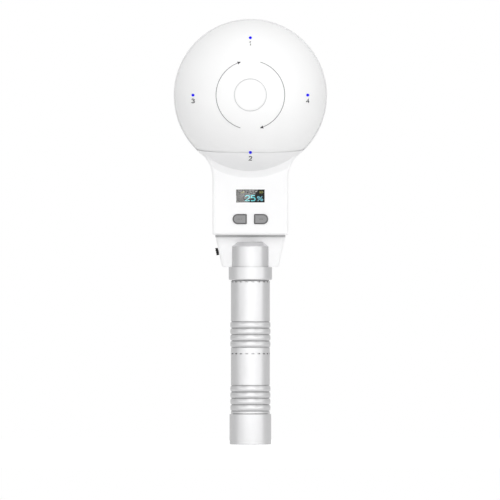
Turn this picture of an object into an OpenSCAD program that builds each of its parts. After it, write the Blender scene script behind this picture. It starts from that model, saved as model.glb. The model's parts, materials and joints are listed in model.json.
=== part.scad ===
// Handheld light meter: a ball head with a turning diffuser dome, a display neck, a tapered mount block and a
// ribbed battery grip. Millimetres, +Z up, front towards -Y. The origin is the mouth of the tripod socket, on
// the grip's axis at its bottom end.

/* [Head] */
// Height of flat neck between the display opening and the chin
neck_clear = 13; // [10:0.1:16]
// Radius of the ball at its equator
ball_r = 61.3; // [60:0.1:63]
// Step from the ball's rim down to the turning dome
dome_step = 1.1; // [0.6:0.1:1.6]
// Wall of the dome
dome_wall = 2.6; // [2.2:0.1:3]
// Depth of the rear half, from the equator to its flat back
ball_depth = 42; // [40:0.5:44]
// Rounding between the rear half's side and its back
ball_back_round = 14; // [12:0.5:16]
// Radius of the round window in the dome's middle
window_r = 12.5; // [10:0.1:14]
// Wall of the chin that laps over the dome's foot
chin_wall = 1.75; // [1.4:0.05:2]
// How far below the ball's centre the chin's edge meets the equator
chin_drop = 43.6; // [40:0.1:46]
// How steeply the chin's edge falls towards the front, in degrees
chin_tilt = 3.6; // [0:0.1:6]
// Clear gap between the turning dome and what stands still
turn_gap = 0.25; // [0.15:0.05:0.4]

/* [Neck] */
// Half the width of the neck
neck_half_w = 30.3; // [30:0.1:31]
// Height of the neck's underside
neck_z = 167.6; // [167.5:0.1:168.3]
// Distance of the neck's front face before the grip's axis
neck_front = 19; // [18.6:0.1:19.4]
// Distance of the neck's back face behind the grip's axis
neck_rear = 20; // [19.6:0.1:21]
// Depth of the front housing, from its face to the parting line
front_depth = 11; // [10.8:0.1:11.2]
// Radius of the flare between the neck's sides and the ball
flare_r = 25.5; // [22:0.5:28]
// Rounding of the neck's lower corners
neck_corner = 1.2; // [1:0.1:3]
// Rounding of the front housing's edges
front_round = 2; // [1:0.1:2.2]
// Rounding of the rear cover's edges
rear_round = 5; // [3:0.5:6]
// Wall of the housings
wall = 2.4; // [2:0.1:2.6]
// Width of the bevelled ring where the chin stands on the neck
foot_ring = 4.7; // [3:0.1:6]

/* [Display and buttons] */
// Width of the display opening
display_w = 22.8; // [22:0.1:24]
// Height of the display opening
display_h = 10.4; // [9.6:0.1:11]
// Height of the display's middle
display_z = 198.8; // [197:0.1:199.5]
// Height of the buttons' middle
button_z = 180.3; // [179.5:0.1:181]
// Height of a button
button_h = 7.9; // [7.4:0.1:8.6]
// Distance of a button's inner edge from the middle
button_inner = 3; // [2.6:0.1:3.4]
// Distance of a button's outer end from the middle
button_outer = 14.1; // [13.6:0.1:14.4]
// How far a button stands proud of the face
button_proud = 1.2; // [0.9:0.1:1.6]
// Travel of a button
button_travel = 0.8; // [0.4:0.1:0.9]

/* [Mount block] */
// How far the neck overhangs the mount block's top at each side
block_step = 2.5; // [2:0.1:3]
// Half the block's width at its bottom
block_low_w = 22.7; // [22.4:0.1:23]
// Height of the block's underside, on the collar
block_z = 142; // [141.8:0.1:142.2]
// Thickness of the gasket between neck and block
gasket_t = 1.8; // [1.5:0.1:2.2]
// Distance of the block's front face before the grip's axis
block_front = 2; // [1:0.1:3]
// Distance of the block's back face behind the grip's axis
block_rear = 19; // [18.8:0.1:19.4]
// Travel of the power switch along the slanted wall
switch_travel = 2.5; // [2:0.1:2.6]
// Height of the power switch's knob when on
switch_z = 154.6; // [154:0.1:154.6]

/* [Grip] */
// Wall of the grip tube
grip_wall = 2.1; // [1.9:0.05:2.4]
// Clearance round the battery cell
cell_gap = 0.4; // [0.3:0.05:0.6]
// Height of the grip tube's lower end
grip_z = 24.7; // [24.7:0.1:25]
// Height of the grip tube's upper end
grip_top = 130.7; // [130.5:0.1:131.2]
// Distance from one ring groove to the next
groove_pitch = 5.1; // [5:0.05:5.15]
// Width of a ring groove
groove_w = 1; // [0.7:0.1:1.2]
// How far the ribs between the grooves bulge
rib_rise = 0.5; // [0.3:0.1:0.7]
// Ring grooves in a set
groove_count = 5; // [3:1:5]
// Height of the lowest groove of the upper set
upper_set_z = 77.8; // [77:0.1:78.5]
// Height of the lowest groove of the lower set
lower_set_z = 26.8; // [26.5:0.1:28]
// Height of the broken ring of short slots
slot_ring_z = 72.7; // [71:0.1:74]
// Short slots round the tube
slot_count = 20; // [12:1:24]

/* [Collar and spigot] */
// Step from the grip tube out to the collar
collar_step = 1.75; // [1.4:0.05:2]
// Step from the grip tube in to the spigot
spigot_step = 1.05; // [0.9:0.05:1.3]
// Height where the spigot's chamfer starts
spigot_shoulder = 158.4; // [158:0.1:158.8]
// Height of the spigot's top
spigot_top = 162.1; // [161.8:0.1:162.3]
// Width of the spigot's chamfer
spigot_chamfer = 4.6; // [3.6:0.1:5.4]

/* [Tail] */
// Step from the grip tube out to the tail cap
tail_step = 1.1; // [0.8:0.05:1.4]
// Height of the tail cap's sleeve
tail_h = 24.4; // [24:0.1:24.4]
// Depth of the screw thread's seat in the grip tube's wall
tail_seat = 0.6; // [0.5:0.05:0.8]
// Depth of the tripod socket
socket_depth = 9.5; // [8:0.1:10]
// Radius of the tripod socket's bore
socket_r = 2.6; // [2.55:0.01:2.65]

/* [Cell] */
// Radius of the battery cell
cell_r = 13.1; // [12.8:0.05:13.2]
// Length of the battery cell
cell_len = 65.4; // [65:0.1:66]

/* [Hidden] */

$fn = 96;
cell_bore_r = cell_r + cell_gap;
grip_r = cell_bore_r + grip_wall;
collar_r = grip_r + collar_step;
spigot_r = grip_r - spigot_step;
spigot_top_r = spigot_r - spigot_chamfer;
tail_r = grip_r + tail_step;
block_top_w = neck_half_w - block_step;
cell_z = tail_h + 13.6;
contact_room = 6.2;
eps = 0.01;
big = 200;
fit = 0.05;          // radial clearance of a running or seated round fit
seat_gap = 0.2;      // clearance of a flat-sided part in its seat

// Head: f is the distance forward of the equator plane
head_y = -neck_front + front_depth;
dome_r = ball_r - dome_step;
dome_in = dome_r - dome_wall;
ball_in = ball_r - dome_wall;
chin_in = dome_r + turn_gap;
chin_r = chin_in + chin_wall;
head_z = display_z + display_h / 2 + neck_clear + chin_r;
carrier_r = dome_in + 0.2;
carrier_top = 7;
carrier_bore = carrier_r - 1.9;
lip_low = 1;
lip_top = carrier_top - 3.1;
journal_r = carrier_bore - 1.9;
journal_wall = 3;
journal_top = lip_top + turn_gap;
flange_t = 1.5;
flange_r = ball_in - 0.4;
web_t = 2;
web_f = -10;
board_t = 1.6;
sensor_board_r = journal_r - journal_wall - 0.5;
sensor_board_f = web_f + web_t;
post_ring_r = sensor_board_r - 3.5;
post_r = 3.5;
web_in_r = post_ring_r - 5;
retainer_t = 1.2;
retainer_r = carrier_bore - turn_gap;
retainer_in = journal_r - journal_wall - 1.5;
retainer_screw_ring = journal_r - journal_wall / 2;
shutter_t = 1.1;
shutter_r = carrier_bore + 0.7;
shutter_f = carrier_top - shutter_t;
diode_ring = post_ring_r - 9;
chip_ring = diode_ring - 18;
diode_window_r = 11;
felt_t = 0.8;

// Screws: shank and head radii, head heights and lengths
m2_r = 0.95;
m25_r = 1.25;
m25_head_r = 2.25;
m25_head_h = 1.9;
m3_r = 1.5;
m3_head_r = 2.75;
m3_head_h = 1.8;
m4_r = 2;
retainer_screw_len = 5;
sensor_screw_len = 11;
board_screw_len = 6;
housing_screw_len = 15;
block_screw_len = 9.5;
socket_screw_len = 10;

// Neck
split_y = head_y;
neck_in_w = neck_half_w - wall;
face_y = -neck_front;
inner_y = face_y + wall;
floor_z = neck_z + wall;
chin_skin = 0.3;      // what the neck's wall adds behind the chin
chin_low = 3.1;       // how far the chin's sphere lies below the ball's centre, and behind it
chin_back = 0.7;
chin_ball_r = chin_r - chin_low;
cavity_top = head_z - dome_r + 6;
board_y = split_y - board_t;
board_half_w = neck_in_w - 7.4;
board_low = floor_z + 1.2;
board_top = head_z - chin_r - chin_skin - 3.2;
board_hole_x = board_half_w - 3;
board_hole_in = 3;
board_post_r = 2.6;
ribbon_end_z = board_top - 4;
ribbon_half_w = 4;
ribbon_t = 0.3;
ribbon_top_z = head_z - web_in_r + 3;
ribbon_back_y = head_y - web_f + 2;
lead_end_z = board_low + 10.5;
// Parts on the main board's back: from and to x, from and to height above the board's low edge, rise
board_parts = [[-4, 4, 18.5, 26.5, 1.2], [8, 15, 14.5, 21.5, 3], [-15, -8, 28.5, 33.5, 2]];
screw_x = neck_in_w - 3.6;
screw_low = floor_z + 7.2;
screw_high = board_top - 2.5;
column_r = 3.4;
counterbore_r = 2.5;
counterbore_y = 2;
seam_bevel = 0.25;

// Display
pane_flange = 0.8;
pane_y = inner_y - 1;
glass_w = 26.7;
glass_h = 19.3;
glass_t = 1.5;
glass_y = pane_y + pane_flange + 0.4;
module_board_t = 1.2;
module_w = 27.2;
module_low = button_z + button_h / 2 + 1.7;
module_h = 26.7;

// Buttons
button_r = button_h / 2;
button_corner = 0.7;
button_flange = 0.9;
button_flange_t = 1;
button_flange_y = inner_y + 0.3;
plunger_gap = button_travel + 0.1;
switch_body_h = 3.5;
plunger_h = 0.8;
plunger_y = board_y - switch_body_h - plunger_h;
button_mid = button_outer - button_r;
plunger_x = button_mid - 1.5;
button_bevel_w = 0.9;
button_gap = 0.15;
button_bevel_h = 0.6;

// Block
block_top = neck_z - gasket_t;
block_slope = (block_top_w - block_low_w) / (block_top - block_z);
block_lean = atan(block_slope);
block_corner = 3;
block_foot_round = 1.2;
gasket_lip = 0.25;
saddle_wall = 2.6;
lead_exit_turn = 60;
lead_r = 0.65;
lead_away = spigot_r + saddle_wall + 1.35;
lead_room = 0.5;
tenon_wall = 1.6;
block_screw_x = block_top_w - 3.6;
tenon_x = lead_away * sin(lead_exit_turn) + lead_r + lead_room + tenon_wall;
tenon_front = block_front - 3.5;
tenon_rear = block_rear - 4;
tenon_top = floor_z + 2.2;
block_screw_y = 8;
boss_r = 3;
boss_low = block_top - 7;
switch_y = 6;
knob_len = 5.8;
knob_w = 5;
knob_proud = 2.3;
knob_gap = 0.15;
stem_len = 2.4;
stem_w = 1.8;
stem_deep = 3.8;
switch_body_len = 8.6;
switch_body_w = 3.8;
switch_body_deep = 3.6;

// Collar, spigot and the leads inside
collar_z = grip_top + 0.8;
stud_r = cell_bore_r - fit;
stud_z = cell_z + cell_len + contact_room;
lead_bore_r = 4.5;
lead_bore_top = block_z + 10;
lead_exit_z = block_z + 5;
lead_exit_r = 2.4;
lead_gap = 0.8;
socket_screw_z = [block_z + 5, block_z + 15];
socket_head_r = 3.5;
socket_head_h = 2;

// Grip
rib_span = groove_pitch;
rib_arc_r = (pow(rib_span / 2, 2) + pow(rib_rise, 2)) / (2 * rib_rise);
slot_phase = 7.5;
slot_w = 2.2;
slot_h = 1;
slot_deep = 0.9;
counter_top = grip_z + 9.3;

// Tail and cell
tail_spigot_r = cell_bore_r + tail_seat - fit;
tail_spigot_top = tail_h + 8.6;
tail_bore = tail_spigot_r - 2.05;
insert_r = 5;
insert_h = socket_depth + 1.3;
tail_floor = insert_h + 2.2;
seal_r = 0.53;
seal_groove = 1.05;
seal_z = tail_h + 2.65;
plate_r = tail_bore - 0.4;
plate_z = tail_floor + turn_gap;
plate_t = 1;
cell_nub_r = 4.5;
cell_nub_h = 1.2;
contact_z = cell_z + cell_len;
contact_board_z = stud_z - board_t;
spring_wire = 0.55;
spring_low_r = 9;
spring_high_r = 5.5;
spring_turns = 6;

// The head's own frame: z forward along the dome's axis, y up
module on_head() {
    translate([0, head_y, head_z]) rotate([90, 0, 0]) children();
}

// A child with its z axis pointing back (+Y) from the point given
module facing_back(x, y, z) {
    translate([x, y, z]) rotate([-90, 0, 0]) children();
}

// The slanted left wall's own frame: z up along the wall, x into the block
module on_left_wall() {
    translate([-(block_low_w + (switch_z - block_z) * block_slope), switch_y, switch_z])
        rotate([0, -block_lean, 0]) children();
}

module left_and_right() {
    children();
    mirror([1, 0, 0]) children();
}

module box(low, high) {
    translate(low) cube(high - low);
}

// Skin over rings of points that all have the same even count. Each ring mirrors onto itself, point j onto the
// j-th from its end, so its caps are ladders of flat quads.
module loft(rings) {
    n = len(rings[0]);
    last = (len(rings) - 1) * n;
    points = [for (ring = rings) each ring];
    sides = [for (i = [0:n:last - n], j = [0:n - 1])
        [i + j, i + (j + 1) % n, i + n + (j + 1) % n, i + n + j]];
    low_cap = [for (j = [0:n / 2 - 2]) [n - 1 - j, n - 2 - j, j + 1, j]];
    high_cap = [for (j = [0:n / 2 - 2]) [last + j, last + j + 1, last + n - 2 - j, last + n - 1 - j]];
    polyhedron(points = points, faces = concat(low_cap, sides, high_cap), convexity = 6);
}

function arc_points(centre, r, from, to, steps) =
    [for (i = [0:steps]) let (a = from + (to - from) * i / steps) centre + r * [cos(a), sin(a)]];

function mirrored(points) = [for (i = [len(points) - 1:-1:0]) [-points[i].x, points[i].y]];

// Half of the neck's outline at one depth: lower corner, straight side, then a flare that runs into the ball's
// section of radius section_r. inset moves the whole outline inwards.
function neck_half(section_r, inset) =
    let (flare_x = neck_half_w + flare_r,
         flare_z = head_z - sqrt(pow(section_r + flare_r, 2) - pow(flare_x, 2)),
         lean = acos(flare_x / (section_r + flare_r)),
         corner = max(neck_corner - inset, 0.2),
         corner_at = [neck_half_w - inset - corner, neck_z + inset + corner])
    concat(arc_points(corner_at, corner, -90, 0, 4),
           arc_points([flare_x, flare_z], flare_r + inset, 180, 180 - lean, 12));

function neck_ring(y, section_r, inset) =
    let (half = neck_half(section_r - 0.2, inset), whole = concat(half, mirrored(half)))
    [for (i = [len(whole) - 1:-1:0]) [whole[i].x, y, whole[i].y]];

// Radius of the ball's section at depth y
function ball_section(y) = sqrt(pow(ball_r, 2) - pow(y - head_y, 2));

// Rounded rectangle ring at height z
function block_ring(z, half_w, front, rear, r) =
    let (low = [half_w - r, front + r], high = [half_w - r, rear - r],
         half = concat(arc_points(low, r, -90, 0, 5), arc_points(high, r, 0, 90, 5)))
    [for (p = concat(half, mirrored(half))) [p.x, p.y, z]];

function block_width(z) = block_low_w + (z - block_z) * block_slope;

// Wire coiled round the Z axis, from radius r0 at the bottom to r1 at the top
module coil(r0, r1, height, turns, wire_r) {
    steps = turns * 16;
    rings = [for (i = [0:steps])
        let (t = i / steps, a = 360 * turns * t, r = r0 + (r1 - r0) * t)
        [for (k = [5:-1:0]) let (w = 60 * k)
            [(r + wire_r * cos(w)) * cos(a), (r + wire_r * cos(w)) * sin(a), height * t + wire_r * sin(w)]]];
    loft(rings);
}

function unit(v) = v / norm(v);

function square_to(v, t) = unit(v - (v * t) * t);

// Tube along a route of points, with mitred rings that carry their direction along
module swept(route, r, sides = 8) {
    last = len(route) - 1;
    along = [for (i = [0:last])
        let (back = i == 0 ? route[1] - route[0] : route[i] - route[i - 1],
             ahead = i == last ? back : route[i + 1] - route[i])
        unit(unit(back) + unit(ahead))];
    across = [for (i = 0, u = square_to([1, 0.3, 0], along[0]); i <= last;
        u = square_to(u, along[min(i + 1, last)]), i = i + 1) u];
    rings = [for (i = [0:last]) let (up = cross(along[i], across[i]))
        [for (k = [sides - 1:-1:0]) let (a = 360 * k / sides)
            route[i] + r * (cos(a) * across[i] + sin(a) * up)]];
    loft(rings);
}

// Pan-head screw pointing down from z = 0, where its head sits
module pan_screw(shank_r, length, head_r, head_h) {
    translate([0, 0, -length]) cylinder(r = shank_r, h = length + eps);
    difference() {
        cylinder(r = head_r, h = head_h);
        translate([0, 0, head_h * 0.4]) cylinder(r = shank_r * 0.9, h = head_h, $fn = 6);
    }
}

// ---- Head ----

// The ball's rear half in section, from its flat back round to the equator; grow is negative for the inside
function rear_profile(grow) =
    let (round_z = ball_depth - ball_back_round,
         round_x = sqrt(pow(ball_r - ball_back_round, 2) - pow(round_z, 2)),
         lean = atan2(round_z, round_x))
    concat([[0, -ball_depth - grow]],
           arc_points([round_x, -round_z], ball_back_round + grow, -90, -lean, 8),
           [for (i = [1:16]) let (a = -lean * (1 - i / 16)) (ball_r + grow) * [cos(a), sin(a)]]);

module rear_solid(grow) {
    rotate_extrude() polygon(concat([[0, 0]], rear_profile(grow)));
}

module rear_shell() {
    inner = rear_profile(-dome_wall);
    rotate_extrude() polygon(concat(rear_profile(0), [for (i = [len(inner) - 1:-1:0]) inner[i]]));
}

module dome_section() {
    difference() {
        circle(r = dome_r);
        circle(r = dome_in);
        translate([-big, -big]) square([big, 2 * big]);
        translate([0, -big]) square([big, big + turn_gap]);
        square([carrier_r, carrier_top]);
    }
}

module dome() {
    color("white") on_head() rotate_extrude() difference() {
        dome_section();
        square([window_r, big]);
    }
}

module centre_window() {
    flange = 1.6;
    flange_t = 1;
    color("white") on_head() rotate_extrude() {
        intersection() {
            dome_section();
            square([window_r - 0.12, big]);
        }
        intersection() {
            difference() {
                circle(r = dome_in);
                circle(r = dome_in - flange_t);
            }
            square([window_r + flange, big]);
        }
    }
}

module dome_carrier_ring() {
    color("gainsboro") on_head() rotate_extrude() difference() {
        translate([carrier_bore - 1.85, turn_gap])
            square([carrier_r - carrier_bore + 1.85, carrier_top - turn_gap]);
        translate([0, -1]) square([carrier_bore, lip_low + 1]);
        translate([0, lip_top]) square([carrier_bore, big]);
        translate([0, shutter_f]) square([shutter_r, big]);
    }
}

module shutter_disc() {
    color("dimgray") on_head() translate([0, 0, shutter_f]) difference() {
        cylinder(r = shutter_r - fit, h = shutter_t);
        translate([0, 0, -1]) cylinder(r = diode_window_r, h = 4);
        for (a = [0:90:270])
            rotate(a) translate([diode_ring, 0, -1]) cylinder(r = diode_window_r, h = 4);
    }
}

module at_posts() {
    for (a = [45:90:315]) rotate(a) translate([post_ring_r, 0, 0]) children();
}

module bearing_ring() {
    color("silver") on_head() difference() {
        rotate_extrude() {
            translate([journal_r - journal_wall, web_f]) square([journal_wall, journal_top - web_f]);
            translate([journal_r - journal_wall, -flange_t])
                square([flange_r - journal_r + journal_wall, flange_t]);
            translate([web_in_r, web_f]) square([journal_r - web_in_r, web_t]);
        }
        translate([0, 0, web_f - 1]) at_posts() cylinder(r = m3_r + 0.15, h = web_t + 2);
        for (a = [0:90:270]) rotate(a)
            translate([retainer_screw_ring, 0, journal_top - retainer_screw_len - 1])
                cylinder(r = m2_r + fit, h = retainer_screw_len + 2);
    }
}

module retaining_ring() {
    color("silver") on_head() translate([0, 0, journal_top]) difference() {
        cylinder(r = retainer_r, h = retainer_t);
        translate([0, 0, -1]) cylinder(r = retainer_in, h = 4);
        for (a = [0:90:270]) rotate(a) translate([retainer_screw_ring, 0, 0]) {
            translate([0, 0, -1]) cylinder(r = m2_r + 0.1, h = 3);
            cylinder(r1 = m2_r + 0.1, r2 = m2_r + 0.1 + retainer_t, h = retainer_t);
            translate([0, 0, retainer_t - eps]) cylinder(r = m2_r + 0.1 + retainer_t, h = 1);
        }
    }
}

module retaining_ring_screws() {
    color("dimgray") on_head() translate([0, 0, journal_top]) for (a = [0:90:270])
        rotate(a) translate([retainer_screw_ring, 0, 0]) difference() {
            union() {
                translate([0, 0, -retainer_screw_len]) cylinder(r = m2_r, h = retainer_screw_len + eps);
                cylinder(r1 = m2_r, r2 = m2_r + retainer_t, h = retainer_t);
            }
            translate([0, 0, retainer_t * 0.5]) cylinder(r = m2_r * 0.8, h = 2, $fn = 6);
        }
}

module friction_felt() {
    color("black") on_head() difference() {
        cylinder(r = carrier_bore - 0.3, h = felt_t);
        translate([0, 0, -1]) cylinder(r = journal_r + 0.1, h = 3);
    }
}

module sensor_board() {
    color("darkgreen") on_head() difference() {
        union() {
            translate([0, 0, sensor_board_f]) cylinder(r = sensor_board_r, h = board_t);
            for (a = [30:90:300]) rotate(a)
                translate([chip_ring, -3, sensor_board_f + board_t - eps]) cube([7, 5, 1.2]);
        }
        translate([0, 0, sensor_board_f - 1]) at_posts() cylinder(r = m3_r + 0.1, h = board_t + 2);
    }
}

module photodiode() {
    cylinder(r = 4.5, h = 1);
    cylinder(r = 3.4, h = 3);
    translate([0, 0, 3 - eps]) cylinder(r = 2.2, h = 0.3);
}

module photodiodes() {
    color("darkslategray") on_head() translate([0, 0, sensor_board_f + board_t]) {
        photodiode();
        for (a = [0:90:270]) rotate(a) translate([diode_ring, 0, 0]) photodiode();
    }
}

module sensor_board_screws() {
    color("silver") on_head() translate([0, 0, sensor_board_f + board_t])
        at_posts() pan_screw(m3_r, sensor_screw_len, m3_head_r, m3_head_h);
}

// Flat cable: from the sensor board's back, down inside the neck, forward to the main board's back
module sensor_ribbon() {
    high = ribbon_top_z + ribbon_t;
    color("lightgray") {
        box([-ribbon_half_w, head_y - sensor_board_f, ribbon_top_z], [ribbon_half_w, ribbon_back_y, high]);
        box([-ribbon_half_w, ribbon_back_y - ribbon_t, ribbon_end_z], [ribbon_half_w, ribbon_back_y, high]);
        box([-ribbon_half_w, split_y, ribbon_end_z], [ribbon_half_w, ribbon_back_y, ribbon_end_z + ribbon_t]);
    }
}

// ---- Neck ----

module neck_cavity(from_y, to_y) {
    facing_back(0, from_y, 0) linear_extrude(to_y - from_y)
        polygon([[-neck_in_w, -floor_z], [neck_in_w, -floor_z],
                 [neck_in_w, -cavity_top], [-neck_in_w, -cavity_top]]);
}

module button_outline(grow) {
    edge = button_r - button_corner;
    translate([button_mid, 0]) circle(r = button_r + grow);
    translate([button_inner + button_corner, -button_r - grow])
        square([button_mid - button_inner - button_corner, 2 * (button_r + grow)]);
    translate([button_inner - grow, -edge]) square([button_mid - button_inner, 2 * edge]);
    for (s = [-1, 1]) translate([button_inner + button_corner, s * edge]) circle(r = button_corner + grow);
}

module button_prism(grow, from_y, to_y) {
    facing_back(0, from_y, button_z) linear_extrude(to_y - from_y) button_outline(grow);
}

module at_housing_screws(y) {
    for (z = [screw_low, screw_high]) left_and_right() facing_back(screw_x, y, z) children();
}

module at_board_holes(y) {
    for (z = [board_low + board_hole_in, board_top - board_hole_in])
        left_and_right() facing_back(board_hole_x, y, z) children();
}

// Everything below the tilted plane of the chin's edge, in the head's frame
module below_chin_edge() {
    translate([0, -chin_drop, 0]) rotate([chin_tilt, 0, 0])
        translate([-big / 2, -big, -big / 2]) cube([big, big, big]);
}

// The chin's own sphere is smaller than chin_r and touches it at the lowest point, so the wall thins towards
// the chin's edge
module at_chin_centre() {
    translate([0, -chin_low, -chin_back]) children();
}

module chin() {
    on_head() intersection() {
        cylinder(r = ball_r, h = big);
        at_chin_centre() sphere(r = chin_ball_r);
        below_chin_edge();
    }
}

// The bevelled ring where the chin stands on the neck's face, round the chin's own axis
module foot_bevel() {
    rise = 3;
    foot = front_depth + chin_back;
    foot_r = chin_section(foot);
    outline = concat(neck_half(ball_r, front_round), mirrored(neck_half(ball_r, front_round)));
    intersection() {
        on_head() at_chin_centre() rotate_extrude() polygon([
            [foot_r - 2 * chin_wall, foot - rise], [foot_r + foot_ring, foot - rise],
            [foot_r + foot_ring, foot], [chin_section(foot + rise), foot + rise],
            [foot_r - 2 * chin_wall, foot + rise]]);
        facing_back(0, face_y - 2 * rise, 0) linear_extrude(front_depth)
            polygon([for (p = outline) [p.x, -p.y]]);
    }
}

// Radius of the chin's sphere at distance f before its own centre
function chin_section(f) = sqrt(pow(chin_ball_r, 2) - pow(f, 2));

module front_body() {
    straight = face_y + front_round;
    rings = concat(
        [neck_ring(split_y, ball_r, seam_bevel), neck_ring(split_y - seam_bevel, ball_r, 0)],
        [for (i = [0:5]) let (a = 18 * i)
            neck_ring(straight - front_round * sin(a), ball_r, front_round * (1 - cos(a)))]);
    loft(rings);
}

module front_housing() {
    color("white") difference() {
        union() {
            difference() {
                union() {
                    front_body();
                    foot_bevel();
                    chin();
                }
                on_head() sphere(r = chin_in);
                difference() {
                    neck_cavity(inner_y, split_y + 1);
                    on_head() sphere(r = chin_r + chin_skin);
                }
            }
            at_board_holes(inner_y - eps) cylinder(r = board_post_r, h = board_y - inner_y + eps);
            at_housing_screws(inner_y - eps) cylinder(r = column_r, h = split_y - inner_y + eps);
        }
        box([-display_w / 2, face_y - 1, display_z - display_h / 2],
            [display_w / 2, inner_y + 1, display_z + display_h / 2]);
        box([-display_w / 2 - 0.9, pane_y, display_z - display_h / 2 - 0.9],
            [display_w / 2 + 0.9, inner_y + 1, display_z + display_h / 2 + 0.9]);
        left_and_right() button_prism(button_gap, face_y - 1, inner_y + 1);
        at_board_holes(inner_y + 1) cylinder(r = m25_r + fit, h = board_y - inner_y);
        at_housing_screws(inner_y + 1) cylinder(r = m25_r + fit, h = split_y - inner_y);
    }
}

module rear_body() {
    straight = neck_rear - rear_round;
    loft(concat(
        [for (i = [5:-1:0]) let (a = 18 * i, y = straight + rear_round * sin(a))
            neck_ring(y, ball_section(y), rear_round * (1 - cos(a)))],
        [for (y = [straight - 5:-5:split_y + 3]) neck_ring(y, ball_section(y), 0)],
        [neck_ring(split_y + seam_bevel, ball_r, 0), neck_ring(split_y, ball_r, seam_bevel)]));
}

module rear_cover() {
    color("white") difference() {
        union() {
            difference() {
                union() {
                    difference() {
                        rear_body();
                        on_head() translate([0, 0, 1]) rear_solid(-dome_wall / 2);
                    }
                    on_head() rear_shell();
                }
                neck_cavity(split_y - 1, neck_rear - wall);
            }
            on_head() intersection() {
                translate([0, 0, -ball_depth]) at_posts() cylinder(r = post_r, h = ball_depth + web_f);
                rear_solid(-dome_wall / 2);
            }
            at_housing_screws(split_y) cylinder(r = column_r, h = neck_rear - split_y - 1);
        }
        on_head() translate([0, 0, web_f - 10]) at_posts() cylinder(r = m3_r + fit, h = 11);
        at_housing_screws(split_y - 1) cylinder(r = m25_r + 0.15, h = big);
        at_housing_screws(counterbore_y) cylinder(r = counterbore_r, h = big);
        box([-tenon_x - seat_gap, -tenon_front - seat_gap, neck_z - 1],
            [tenon_x + seat_gap, tenon_rear + seat_gap, floor_z + 1]);
        left_and_right() translate([block_screw_x, block_screw_y, neck_z - 1])
            cylinder(r = m25_r + 0.15, h = wall + 2);
    }
}

module housing_screws() {
    color("dimgray") at_housing_screws(counterbore_y)
        pan_screw(m25_r, housing_screw_len, m25_head_r, m25_head_h);
}

module display_window() {
    land_y = face_y + 0.3;
    color([0.1, 0.1, 0.12, 0.5]) {
        box([-display_w / 2 + 0.1, land_y, display_z - display_h / 2 + 0.1],
            [display_w / 2 - 0.1, pane_y + eps, display_z + display_h / 2 - 0.1]);
        box([-display_w / 2 - 0.8, pane_y, display_z - display_h / 2 - 0.8],
            [display_w / 2 + 0.8, pane_y + pane_flange, display_z + display_h / 2 + 0.8]);
    }
}

module display_module() {
    board_front = glass_y + glass_t;
    pin_x = module_w / 2 - 2;
    color("midnightblue") {
        box([-glass_w / 2, glass_y, display_z - glass_h / 2],
            [glass_w / 2, board_front, display_z + glass_h / 2]);
        box([-module_w / 2, board_front - eps, module_low],
            [module_w / 2, board_front + module_board_t, module_low + module_h]);
        for (z = [module_low + 2, module_low + module_h - 2]) left_and_right()
            facing_back(pin_x, board_front, z) cylinder(r = 1.2, h = board_y - board_front);
    }
}

module main_board() {
    color("darkgreen") difference() {
        union() {
            box([-board_half_w, board_y, board_low], [board_half_w, split_y, board_top]);
            for (c = board_parts)
                box([c[0], split_y - eps, board_low + c[2]], [c[1], split_y + c[4], board_low + c[3]]);
            box([-5, split_y - eps, ribbon_end_z - 4], [5, split_y + 1.8, ribbon_end_z - 0.1]);
        }
        at_board_holes(board_y - 1) cylinder(r = m25_r + 0.15, h = board_t + 2);
    }
}

module main_board_screws() {
    color("silver") at_board_holes(split_y) pan_screw(m25_r, board_screw_len, m25_head_r, m25_head_h);
}

module button_switches() {
    color("darkgray") left_and_right() {
        box([plunger_x - 3, board_y - switch_body_h, button_z - 3], [plunger_x + 3, board_y, button_z + 3]);
        facing_back(plunger_x, plunger_y, button_z) cylinder(r = 1.7, h = plunger_h + eps);
    }
}

// A button's outline as points, from its inner edge round its outer end, the lower half mirroring the upper
function button_ring(y, inset) =
    let (fillet = max(button_corner - inset, 0.1),
         upper = concat(arc_points([button_inner + inset + fillet, button_r - inset - fillet], fillet, 180, 90, 4),
                        arc_points([button_mid, 0], button_r - inset, 90, 7.5, 11)),
         whole = concat(upper, [for (i = [len(upper) - 1:-1:0]) [upper[i].x, -upper[i].y]]))
    [for (p = whole) [p.x, y, button_z + p.y]];

module push_button() {
    stem_end = plunger_y - plunger_gap;
    bevel_y = face_y - button_proud + button_bevel_h;
    loft([button_ring(button_flange_y + eps, 0), button_ring(bevel_y, 0),
          button_ring(bevel_y - button_bevel_h, button_bevel_w)]);
    button_prism(button_flange, button_flange_y, button_flange_y + button_flange_t);
    facing_back(plunger_x, button_flange_y, button_z) cylinder(r = 1.6, h = stem_end - button_flange_y);
}

module button_right() {
    color("gray") push_button();
}

module button_left() {
    color("gray") mirror([1, 0, 0]) push_button();
}

// ---- Mount block ----

module block_gasket() {
    color("slategray") difference() {
        loft([for (z = [neck_z, block_top])
            block_ring(z, block_top_w + gasket_lip, -block_front - gasket_lip, block_rear + gasket_lip,
                block_corner)]);
        box([-tenon_x - seat_gap, -tenon_front - seat_gap, block_top - 1],
            [tenon_x + seat_gap, tenon_rear + seat_gap, neck_z + 1]);
        left_and_right() translate([block_screw_x, block_screw_y, block_top - 1])
            cylinder(r = m25_r + 0.15, h = gasket_t + 2);
    }
}

module block_hollow() {
    low = block_z + wall;
    high = block_top - wall;
    difference() {
        loft([for (z = [high, low])
            block_ring(z, block_width(z) - wall, -block_front + wall, block_rear - wall, 1)]);
        cylinder(r = spigot_r + saddle_wall, h = big);
        left_and_right() translate([block_screw_x, block_screw_y, boss_low]) cylinder(r = boss_r, h = big);
    }
}

module lead_direction() {
    rotate(lead_exit_turn) rotate([-90, 0, 0]) children();
}

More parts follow.
